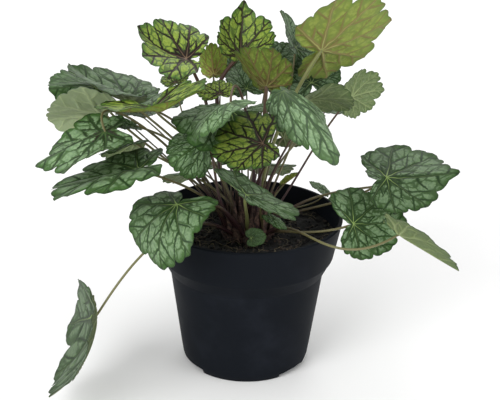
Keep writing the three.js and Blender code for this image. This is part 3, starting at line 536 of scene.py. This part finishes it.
def blade_material(name, pattern, roughness, relief, light, **colours):
    """One face of a heuchera blade: a thin living leaf with a soft waxy gloss, its cells swollen between
    sunken veins above and its veins proud below. Light comes a little way through it."""
    made, tree = material(name)
    tint = {part: linear(colour) for part, colour in colours.items()}
    veins = add(tree, "Group", node_tree=pattern).outputs
    share, tone_and_shade, purple, silvered, ribbed, sage = (
        add(tree, "Attribute", attribute_name=name).outputs["Fac"]
        for name in ("share", "tone_and_shade", "purple", "silvered", "ribbed", "sage"))
    mottle = add(tree, "MapRange", {"Value": veins["grain"], "From Min": 0.35, "From Max": 0.65},
                 **SMOOTH_STEP)
    cell = add(tree, "Mix", {0: mottle, 6: tint["cell"], 7: tint["pale"]}, data_type="RGBA")
    outer = add(tree, "Math", {0: veins["grain"], 1: 0.2, 2: share}, operation="MULTIPLY_ADD")
    outer = add(tree, "MapRange", {"Value": outer, "From Min": 0.96, "From Max": 1.07} | FALLING,
                **SMOOTH_STEP)
    patch = add(tree, "Math", {0: veins["patch"], 1: outer}, operation="MULTIPLY")
    patch = add(tree, "Math", {0: patch, 1: silvered}, operation="MULTIPLY")
    ground = add(tree, "Mix", {0: share, 6: tint["inner"], 7: tint["margin"]}, data_type="RGBA")
    colour = add(tree, "Mix", {0: patch, 6: ground, 7: cell}, data_type="RGBA")
    flush = add(tree, "Math", {0: veins["band"], 1: purple}, operation="MULTIPLY")
    net = add(tree, "Math", {0: veins["net"], 1: 0.55}, operation="MULTIPLY")
    rib = add(tree, "Math", {0: veins["hub"], 1: 0.75, 2: 0.25}, operation="MULTIPLY_ADD")
    rib = add(tree, "Math", {0: rib, 1: veins["thread"]}, operation="MULTIPLY")
    rib = add(tree, "Math", {0: rib, 1: ribbed}, operation="MULTIPLY", use_clamp=True)
    for part, amount in (("flush", flush), ("net", net), ("vein", veins["line"]), ("rib", rib)):
        colour = add(tree, "Mix", {0: amount, 6: colour, 7: tint[part]}, data_type="RGBA")
    rim = add(tree, "MapRange", {"Value": share, "From Min": 0.965, "From Max": 1, "To Min": 1,
                                 "To Max": 0.6}, **SMOOTH_STEP)
    # Painted light and shade, partly the leaf's own brightness: tone draws the whole blade darker or lighter
    # in colour for how it lies in shadow or light; a darker rim at the very edge
    bright = add(tree, "MapRange", {"Value": tone_and_shade, "From Min": -1, "From Max": 1, "To Min": 0.35,
                                    "To Max": 1.65})
    bright = add(tree, "Math", {0: bright, 1: rim}, operation="MULTIPLY")
    colour = add(tree, "Mix", {0: 1, 6: colour, 7: bright}, data_type="RGBA", blend_type="MULTIPLY")
    colour = add(tree, "Mix", {0: sage, 6: colour, 7: tint["bloom"]}, data_type="RGBA")
    height = add(tree, "Math", {0: veins["grain"], 1: 0.25}, operation="MULTIPLY")
    height = add(tree, "Math", {0: veins["swell"], 1: relief, 2: height}, operation="MULTIPLY_ADD")
    bumped = add(tree, "Bump", {"Height": height, "Strength": 0.7, "Distance": 0.5 * MM})
    uneven = add(tree, "MapRange", {"Value": veins["grain"], "From Min": 0.3, "From Max": 0.7,
                                    "To Min": roughness - 0.06, "To Max": roughness + 0.08})
    return finish_material(made, {"Base Color": colour, "Roughness": uneven, "Normal": bumped, "IOR": 1.42,
                                  "Specular IOR Level": 0.22, "Subsurface Weight": light,
                                  "Subsurface Radius": (0.6, 1, 0.2), "Subsurface Scale": 0.8 * MM})


def stalk_material():
    """Petiole: a juicy stem, purple-brown where it leaves the crown and pale green or tan near the blade"""
    made, tree = material("heuchera petiole")
    along, brown = (add(tree, "Attribute", attribute_name=name).outputs["Fac"] for name in ("along", "stalk"))
    where = add(tree, "TexCoord").outputs["Object"]
    streak = add(tree, "TexNoise", {"Vector": where, "Scale": 260, "Detail": 3})
    mottled = add(tree, "Math", {0: streak, 1: 0.35, 2: along}, operation="MULTIPLY_ADD")
    mottled = add(tree, "Math", {0: brown, 1: -0.45, 2: mottled}, operation="MULTIPLY_ADD")
    upper = add(tree, "Mix", {0: brown, 6: linear("7C8050"), 7: linear("4A3229")}, data_type="RGBA")
    lower = add(tree, "MapRange", {"Value": mottled, "From Min": 0.08, "From Max": 0.48} | FALLING)
    colour = add(tree, "Mix", {0: lower, 6: upper, 7: linear("392527")}, data_type="RGBA")
    bumped = add(tree, "Bump", {"Height": streak, "Strength": 0.3, "Distance": 0.2 * MM})
    return finish_material(made, {"Base Color": colour, "Normal": bumped, "Roughness": 0.42, "IOR": 1.42,
                                  "Subsurface Weight": 0.15, "Subsurface Radius": (0.6, 0.8, 0.2),
                                  "Subsurface Scale": 1 * MM})


def rough_material(name, dark, light, grain, depth, roughness):
    """Peat, bark or dead leaf base: a matt broken surface in two tones; grain is its lumps in millimetres"""
    made, tree = material(name)
    where = add(tree, "TexCoord").outputs["Object"]
    lumps = add(tree, "TexNoise", {"Vector": where, "Scale": 1 / (grain * MM), "Detail": 6,
                                   "Roughness": 0.65})
    tint = add(tree, "MapRange", {"Value": lumps, "From Min": 0.38, "From Max": 0.68}, **SMOOTH_STEP)
    colour = add(tree, "Mix", {0: tint, 6: linear(dark), 7: linear(light)}, data_type="RGBA")
    bumped = add(tree, "Bump", {"Height": lumps, "Strength": 0.9, "Distance": depth * MM})
    return finish_material(made, {"Base Color": colour, "Normal": bumped, "Roughness": roughness})


def pot_material():
    """Moulded polypropylene: near black and satin, with the faint mottle of the mould and dull rubbed patches
    some 35 mm wide. The mottle is drawn about 1 mm wide, coarser than the real one, so that it shows."""
    made, tree = material("pot, moulded polypropylene")
    where = add(tree, "TexCoord").outputs["Object"]
    mould = add(tree, "TexNoise", {"Vector": where, "Scale": 1100, "Detail": 2})
    rubbed = add(tree, "TexNoise", {"Vector": where, "Scale": 28, "Detail": 5, "Roughness": 0.6})
    dull = add(tree, "MapRange", {"Value": rubbed, "From Min": 0.4, "From Max": 0.7, "To Min": 0.5,
                                  "To Max": 0.62})
    dust = add(tree, "MapRange", {"Value": rubbed, "From Min": 0.45, "From Max": 0.75}, **SMOOTH_STEP)
    colour = add(tree, "Mix", {0: dust, 6: linear("14171C"), 7: linear("1C1F25")}, data_type="RGBA")
    bumped = add(tree, "Bump", {"Height": mould, "Strength": 0.25, "Distance": 0.08 * MM})
    return finish_material(made, {"Base Color": colour, "Roughness": dull, "Normal": bumped, "IOR": 1.49,
                                  "Specular IOR Level": 0.03})


# ---- leaves

def flat_disc(steps, rings):
    """A leaf blade before it is shaped: a round disc of radius 1 and thickness 0.1, closed at its rim"""
    bm = bmesh.new()
    verts = [bm.verts.new((0, share, 0.05)) for share in np.linspace(0, 1, rings + 1) ** 0.9]
    edges = [bm.edges.new(pair) for pair in zip(verts, verts[1:])]
    bmesh.ops.spin(bm, geom=verts + edges, cent=(0, 0, 0), axis=(0, 0, 1), angle=2 * math.pi, steps=steps,
                   use_merge=True)
    bmesh.ops.remove_doubles(bm, verts=bm.verts, dist=1e-5)
    bmesh.ops.recalc_face_normals(bm, faces=bm.faces)
    if sum(face.normal.z for face in bm.faces) < 0:
        bmesh.ops.reverse_faces(bm, faces=bm.faces)
    lower = bmesh.ops.duplicate(bm, geom=bm.verts[:] + bm.edges[:] + bm.faces[:])["geom"]
    bmesh.ops.translate(bm, verts=[g for g in lower if isinstance(g, bmesh.types.BMVert)], vec=(0, 0, -0.1))
    bmesh.ops.reverse_faces(bm, faces=[g for g in lower if isinstance(g, bmesh.types.BMFace)])
    bmesh.ops.bridge_loops(bm, edges=[e for e in bm.edges if e.is_boundary])
    bm.faces.ensure_lookup_table()
    for face in bm.faces:
        face.material_index = 1 if face.normal.z < -0.5 else 0
    mesh = bpy.data.meshes.new("disc")
    bm.to_mesh(mesh)
    bm.free()
    return mesh


# Finer discs for longer blades, from this length in millimetres on
DISCS = {50: flat_disc(180, 36), 30: flat_disc(144, 26), 0: flat_disc(108, 18)}


def make_leaf(name, leaf, materials):
    """One leaf: its blade, and the stalk that carries it up from the crown"""
    disc = next(DISCS[limit] for limit in DISCS if leaf["length"] >= limit)
    leaf["phase"] = rng.uniform(0, 6)
    bm = bmesh.new()
    bm.from_mesh(disc)
    bm.verts.ensure_lookup_table()
    flat = np.array([vert.co for vert in bm.verts])
    share = np.minimum(np.hypot(flat[:, 0], flat[:, 1]), 1)
    phi = np.degrees(np.arctan2(flat[:, 0], flat[:, 1]))
    side = np.where(flat[:, 2] > 0, 1, -1)
    placed = blade_points(leaf, share, phi, side) * MM
    spread = edge(leaf, phi) * share
    angle = np.radians(phi)
    map_x = spread * np.sin(angle) * UV_SHARE + 0.5
    map_y = spread * np.cos(angle) * UV_SHARE + 0.5
    constants = {look: leaf[look] for look in LOOKS}
    # A little random spread in brightness on top of the tone, which partly paints light and shade
    constants["tone_and_shade"] += rng.uniform(-TONE_SPREAD, TONE_SPREAD)
    constants["seed"] = rng.uniform(0, 40)
    layers = {layer: bm.verts.layers.float.new(layer) for layer in ("share", "along", *constants)}
    leaf_map = bm.loops.layers.uv.new("leaf")
    for vert, point, part in zip(bm.verts, placed, share):
        vert.co = point
        vert[layers["share"]] = part
        vert[layers["along"]] = 1
    for face in bm.faces:
        for loop in face.loops:
            index = loop.vert.index
            loop[leaf_map].uv = (map_x[index], map_y[index])
    points = stalk_points(leaf)
    t = np.linspace(0, 1, STALK_STEPS + 1)
    foot = 0.7 * np.exp(-(t * (points[-1] - points[0]).length / 18) ** 2)
    radii = stalk_radius(leaf) * (1 + foot - 0.12 * t - 0.35 * smooth(t, 0.97, 1))
    paint(grow_tube(bm, points, radii, 8), 2)
    for vert in bm.verts:
        for look, value in constants.items():
            vert[layers[look]] = value
    kind = leaf["kind"]
    finish_piece(f"fine_{name}", bm, materials[kind], f"leaf_{name}")


# ---- pot

def make_pot(finish):
    """The turned moulding: a plain body, a small ledge and a wider band up to the rolled rim. Its profile is
    radius and height, from the middle of the foot up the outside and down the inside to the floor."""
    line = [(0, 0.9), (BASE_RADIUS - 5, 0.9), (BASE_RADIUS - 4, 0), (BASE_RADIUS, 0), (BASE_RADIUS + 1, 1),
            (BASE_RADIUS + 2.6, 5), BODY_FOOT, BODY_TOP, (BODY_TOP[0] + 1.5, BODY_TOP[1] + 1.6),
            (BAND_FOOT[0] - 1.3, BAND_FOOT[1] - 1.5), BAND_FOOT, (RIM_RADIUS, POT_HEIGHT - 0.8),
            (RIM_RADIUS - 0.7, POT_HEIGHT), (RIM_RADIUS - WALL - 0.5, POT_HEIGHT),
            (RIM_RADIUS - WALL - 0.9, POT_HEIGHT - 0.6), (BAND_FOOT[0] - WALL, BAND_FOOT[1] + 0.6),
            (BODY_TOP[0] - WALL, BODY_TOP[1] + 0.6), (BODY_FOOT[0] - WALL, BODY_FOOT[1]),
            (BASE_RADIUS - 0.6, WALL), (0, WALL)]
    bm = bmesh.new()
    verts = [bm.verts.new((radius * MM, 0, height * MM)) for radius, height in line]
    edges = [bm.edges.new(pair) for pair in zip(verts, verts[1:])]
    bmesh.ops.bevel(bm, geom=verts[5:8] + verts[10:11], affect="VERTICES", offset=1.2 * MM, segments=3,
                    profile=0.5, material=-1)
    bmesh.ops.spin(bm, geom=bm.verts[:] + bm.edges[:], cent=(0, 0, 0), axis=(0, 0, 1), angle=2 * math.pi,
                   steps=POT_STEPS, use_merge=True)
    bmesh.ops.remove_doubles(bm, verts=bm.verts, dist=1e-6)
    bmesh.ops.recalc_face_normals(bm, faces=bm.faces)
    pot = finish_piece("fine_pot", bm, [finish], "pot", sharp=40)
    cutters = bmesh.new()
    for azimuth in DRAIN["azimuths"]:
        turn = Matrix.Rotation(math.radians(azimuth - DRAIN["spread"] / 2), 3, "Z")
        corners = [(radius, height) for radius in (DRAIN["radius"], RIM_RADIUS)
                   for height in (-DRAIN["height"], DRAIN["height"])]
        verts = [cutters.verts.new(turn @ Vector((radius, 0, height)) * MM) for radius, height in corners]
        edges = [cutters.edges.new((verts[a], verts[b])) for a, b in ((0, 1), (1, 3), (3, 2), (2, 0))]
        spun = bmesh.ops.spin(cutters, geom=verts + edges, cent=(0, 0, 0), axis=(0, 0, 1), steps=18,
                              angle=math.radians(DRAIN["spread"]))["geom_last"]
        last = [g for g in spun if isinstance(g, bmesh.types.BMEdge)]
        bmesh.ops.holes_fill(cutters, edges=edges + last)
    bmesh.ops.recalc_face_normals(cutters, faces=cutters.faces)
    mesh = bpy.data.meshes.new("drain")
    cutters.to_mesh(mesh)
    cutters.free()
    cutter = bpy.data.objects.new("drain", mesh)
    bpy.context.scene.collection.objects.link(cutter)
    cut = pot.modifiers.new("drain", "BOOLEAN")
    cut.operation = "DIFFERENCE"
    cut.solver = "EXACT"
    cut.object = cutter
    depsgraph = bpy.context.evaluated_depsgraph_get()
    pot.data = bpy.data.meshes.new_from_object(pot.evaluated_get(depsgraph))
    pot.modifiers.clear()
    bpy.data.objects.remove(cutter)


# ---- soil and crown

def soil_height(x, y):
    """The heap's surface, which rises towards the front, before its crumbs"""
    front = SOIL_FRONT_RISE * np.exp(-(((y + 60) / 24) ** 2))
    crumbs = 0.7 * np.sin(0.33 * x + 1) * np.cos(0.29 * y) + 0.5 * np.sin(0.21 * x - 0.37 * y)
    return SOIL_LEVEL + front + crumbs


def lumps(x, y):
    """Unevenness of loose peat, about 1 in size"""
    return (np.sin(0.9 * x + 1) * np.cos(0.8 * y - 1) + 0.6 * np.sin(1.9 * x - 1.3 * y + 2)
            + 0.45 * np.cos(3.1 * y + 2.7 * x + 1)) / 2


def soil_spot():
    """A random place on the soil, clear of the crown and the wall"""
    while True:
        x, y = rng.uniform(-61, 61, 2)
        if math.hypot(x, y) < 59.5 and math.hypot(x, y - CROWN["y"]) > CROWN["radius"] - 1:
            return x, y


def make_soil(peat, bark, root):
    """Potting soil: a heap of peat, crumbs lying on it, bits of bark and brown root fibres"""
    bm = bmesh.new()
    inside = RIM_RADIUS - WALL - 1.4
    foot = (inside - 3.6, SOIL_LEVEL - 12)
    verts = [bm.verts.new((radius, 0, SOIL_LEVEL)) for radius in np.linspace(0, inside - 1.2, 46)]
    verts += [bm.verts.new((foot[0], 0, foot[1])), bm.verts.new((0, 0, foot[1]))]
    edges = [bm.edges.new(pair) for pair in zip(verts, verts[1:])]
    bmesh.ops.spin(bm, geom=verts + edges, cent=(0, 0, 0), axis=(0, 0, 1), angle=2 * math.pi, steps=180,
                   use_merge=True)
    bmesh.ops.remove_doubles(bm, verts=bm.verts, dist=1e-4)
    bmesh.ops.recalc_face_normals(bm, faces=bm.faces)
    for vert in bm.verts:
        x, y, z = vert.co
        if z > SOIL_LEVEL - 1:
            near_wall = 1 - smooth(math.hypot(x, y), inside - 6, inside)
            vert.co.z = float(soil_height(x, y) + 0.8 * lumps(x, y) - 0.6 * (1 - near_wall))
    for _ in range(PEAT_CRUMBS):
        x, y = soil_spot()
        size = rng.uniform(0.5, 1.5)
        crumb = bmesh.ops.create_icosphere(bm, subdivisions=1, radius=size)["verts"]
        stretch = Matrix.Diagonal((rng.uniform(0.7, 1.4), rng.uniform(0.7, 1.3), rng.uniform(0.5, 0.9), 1))
        turn = Matrix.Rotation(rng.uniform(0, 6.3), 4, rng.normal(size=3))
        place = Matrix.Translation((x, y, float(soil_height(x, y)) + 0.35 * size))
        bmesh.ops.transform(bm, matrix=place @ turn @ stretch, verts=crumb)
        for vert in crumb:
            vert.co += Vector(rng.normal(size=3) * 0.14 * size)
    for _ in range(BARK_CHIPS):
        x, y = soil_spot()
        chip = bmesh.ops.create_cube(bm, size=1)["verts"]
        stretch = Matrix.Diagonal((rng.uniform(2.5, 6), rng.uniform(1.2, 2.6), rng.uniform(0.5, 1.1), 1))
        turn = Matrix.Rotation(rng.uniform(0, 6.3), 4, "Z") @ Matrix.Rotation(rng.uniform(-0.4, 0.4), 4, "X")
        place = Matrix.Translation((x, y, float(soil_height(x, y)) + 0.8))
        bmesh.ops.transform(bm, matrix=place @ turn @ stretch, verts=chip)
        for vert in chip:
            vert.co += Vector(rng.normal(size=3) * 0.25)
        paint(chip, 1)
        bmesh.ops.bevel(bm, geom=list({e for v in chip for e in v.link_edges}), affect="EDGES", offset=0.2,
                        segments=1, profile=0.5, material=-1)
    bmesh.ops.scale(bm, vec=(MM, MM, MM), verts=bm.verts)
    for _ in range(ROOT_FIBRES):
        x, y = soil_spot()
        way = rng.uniform(0, 6.3)
        length = rng.uniform(5, 15) * (1 - 0.5 * smooth(math.hypot(x, y), 48, 60))
        lift = rng.uniform(0.3, 2.2) + (rng.uniform(0, 4) if x < -5 and y < -25 else 0)
        points = []
        for i in range(6):
            along = length * (i / 5 - 0.5)
            px = x + along * math.cos(way + 0.5 * math.sin(i))
            py = y + along * math.sin(way + 0.5 * math.sin(i))
            inner = min(1, 58 / math.hypot(px, py))
            px, py = px * inner, py * inner
            pz = soil_height(px, py) + 0.8 + lift * math.sin(math.pi * i / 5)
            points.append(Vector((px, py, pz)))
        paint(grow_tube(bm, points, (0.22, 0.24, 0.24, 0.22, 0.18, 0.12), 4), 2)
    finish_piece("fine_soil", bm, [peat, bark, root], "soil")


def make_crown(wood, scale):
    """The woody crown: a knobbly stock just out of the soil, with the dry brown bases of old leaves on it"""
    bm = bmesh.new()
    verts = bmesh.ops.create_icosphere(bm, subdivisions=5, radius=1)["verts"]
    for vert in verts:
        x, y, z = vert.co
        knob = 1 + 0.06 * math.sin(7 * x + 3 * z) * math.cos(6 * y)
        knob += 0.035 * math.sin(17 * x + 13 * y + 11 * z)
        vert.co = Vector((x * CROWN["radius"] * knob, y * CROWN["radius"] * knob, z * 7 * knob))
        vert.co += Vector((0, CROWN["y"], CROWN["top"] - 7.4))
    bmesh.ops.scale(bm, vec=(MM, MM, MM), verts=bm.verts)
    for i in range(OLD_BASES):
        azimuth = i * 2.4
        radius = CROWN["radius"] * (0.25 + 0.72 * (i / OLD_BASES) ** 0.5)
        x = radius * math.cos(azimuth)
        y = CROWN["y"] + radius * math.sin(azimuth)
        height = rng.uniform(12, 24) + 12 * (1 - i / OLD_BASES)
        lean = rng.uniform(0.05, 0.3)
        grid = bmesh.ops.create_grid(bm, x_segments=3, y_segments=6, size=0.5)["verts"]
        for vert in grid:
            across, up = vert.co.x * 2, vert.co.y + 0.5
            wide = 2.3 * (1 - 0.9 * up ** 2) + 0.15
            out = height * up * math.sin(lean * up) + 0.5 * across * across
            vert.co = Vector((out * math.cos(azimuth) - across * wide * math.sin(azimuth) + x,
                              out * math.sin(azimuth) + across * wide * math.cos(azimuth) + y,
                              crown_height(x, y) - 2 + height * up * math.cos(lean * up))) * MM
        paint(grid, 1)
        faces = list({face for vert in grid for face in vert.link_faces})
        bmesh.ops.solidify(bm, geom=faces, thickness=0.25 * MM)
    creeping = ((1, -19, 97), (0, -23, 98.5), (2, -27, 97.8), (1.5, -31, 99.5), (3, -35, 99))
    grow_tube(bm, [Vector(point) for point in creeping], (4.2, 3.2, 3.6, 2.4, 1.6), 10)
    finish_piece("fine_crown", bm, [wood, scale], "crown")


# ---- the scene

veins = vein_pattern()
silver_top = blade_material(
    "heuchera blade, silvered upper face", veins, roughness=0.5, relief=1, light=0.1, cell="5C7553",
    pale="728A66", inner="2E4322", margin="395729", flush="241A17", net="304822", vein="243A1E", rib="8CA45E",
    bloom="8A9684")
silver_under = blade_material(
    "heuchera blade, sage underside", veins, roughness=0.62, relief=-1, light=0.1, cell="5E6D48",
    pale="6E7C57", inner="67744F", margin="566741", flush="6B5E48", net="5A6A46", vein="76835A", rib="9AA577",
    bloom="9AA386")
lime_top = blade_material(
    "heuchera blade, lime upper face", veins, roughness=0.48, relief=1, light=0.15, cell="6E8430",
    pale="84963F", inner="4E662A", margin="46682A", flush="1D130E", net="37421F", vein="1A100D", rib="75604A",
    bloom="8A9A60")
lime_under = blade_material(
    "heuchera blade, olive underside", veins, roughness=0.6, relief=-1, light=0.2, cell="788A34",
    pale="8A9A45", inner="748632", margin="66802F", flush="5A3A2C", net="6E7E36", vein="7A6C3E", rib="9C9F60",
    bloom="A3A070")
petiole = stalk_material()
peat = rough_material("potting peat", "030303", "0D0C0A", grain=1.6, depth=0.7, roughness=0.95)
bark = rough_material("composted bark", "1A1410", "3A2C20", grain=2.4, depth=0.3, roughness=0.85)
root_fibre = rough_material("dry root fibre", "2C261D", "6A6049", grain=3, depth=0.1, roughness=0.8)
stock = rough_material("heuchera crown wood", "20130F", "4A342A", grain=2.2, depth=0.6, roughness=0.85)
old_base = rough_material("papery old leaf base", "2C201F", "745B4E", grain=2.5, depth=0.15, roughness=0.75)
plastic = pot_material()

finishes = dict(silver=[silver_top, silver_under, petiole], lime=[lime_top, lime_under, petiole])
for name, leaf in LEAVES.items():
    make_leaf(name, PLAIN_LEAF | leaf, finishes)
for disc in DISCS.values():
    bpy.data.meshes.remove(disc)
make_pot(plastic)
make_soil(peat, bark, root_fibre)
make_crown(stock, old_base)


# ---- floor, light and camera

def make_floor():
    """A plain pale floor, 6 m to each side"""
    bm = bmesh.new()
    bmesh.ops.create_grid(bm, x_segments=8, y_segments=8, size=6)
    mesh = bpy.data.meshes.new("floor")
    bm.to_mesh(mesh)
    bm.free()
    floor = bpy.data.objects.new("floor", mesh)
    bpy.context.scene.collection.objects.link(floor)
    made, _ = material("white studio floor")
    paper = {"Base Color": linear("F0F0F0"), "Roughness": 0.9, "Specular IOR Level": 0}
    mesh.materials.append(finish_material(made, paper))


def make_light(name, place, size, power):
    """A soft round studio light turned to the plant's middle"""
    light = bpy.data.lights.new(name, "AREA")
    light.shape = "DISK"
    light.size = size
    light.energy = power
    lamp = bpy.data.objects.new(name, light)
    bpy.context.scene.collection.objects.link(lamp)
    lamp.location = place
    lamp.rotation_euler = (Vector((0, 0, 0.12)) - Vector(place)).to_track_quat("-Z", "Y").to_euler()


make_floor()
make_light("key", (-1.1, -1.6, 1.2), size=1.4, power=32)
make_light("fill", (1.4, -0.9, 0.9), size=1.2, power=7)
make_light("back", (0.2, 1.5, 1.4), size=1, power=8)

world = bpy.data.worlds.new("white room")
world.use_nodes = True
surround = world.node_tree.nodes["Background"].inputs
surround["Color"].default_value = (1, 1, 1, 1)
surround["Strength"].default_value = 0.88
bpy.context.scene.world = world
bpy.context.scene.view_settings.view_transform = "Standard"

# The camera's distance and target, in millimetres
CAMERA_ELEVATION = math.radians(22.55)
CAMERA_ROLL = math.radians(1.2)
CAMERA_DISTANCE = 1000
CAMERA_TARGET = Vector((1.28, 0, 117.92))
CAMERA_LENS = 105.68376
camera = bpy.data.cameras.new("camera")
camera.lens = CAMERA_LENS
camera.sensor_width = 36
camera.clip_start = 0.01
camera.clip_end = 50
viewer = bpy.data.objects.new("camera", camera)
bpy.context.scene.collection.objects.link(viewer)
back = Vector((0, -math.cos(CAMERA_ELEVATION), math.sin(CAMERA_ELEVATION)))
viewer.matrix_world = (Matrix.Translation((CAMERA_TARGET + back * CAMERA_DISTANCE) * MM)
                       @ Matrix.Rotation(math.pi / 2 - CAMERA_ELEVATION, 4, "X")
                       @ Matrix.Rotation(CAMERA_ROLL, 4, "Z"))
bpy.context.scene.camera = viewer

bpy.context.view_layer.update()
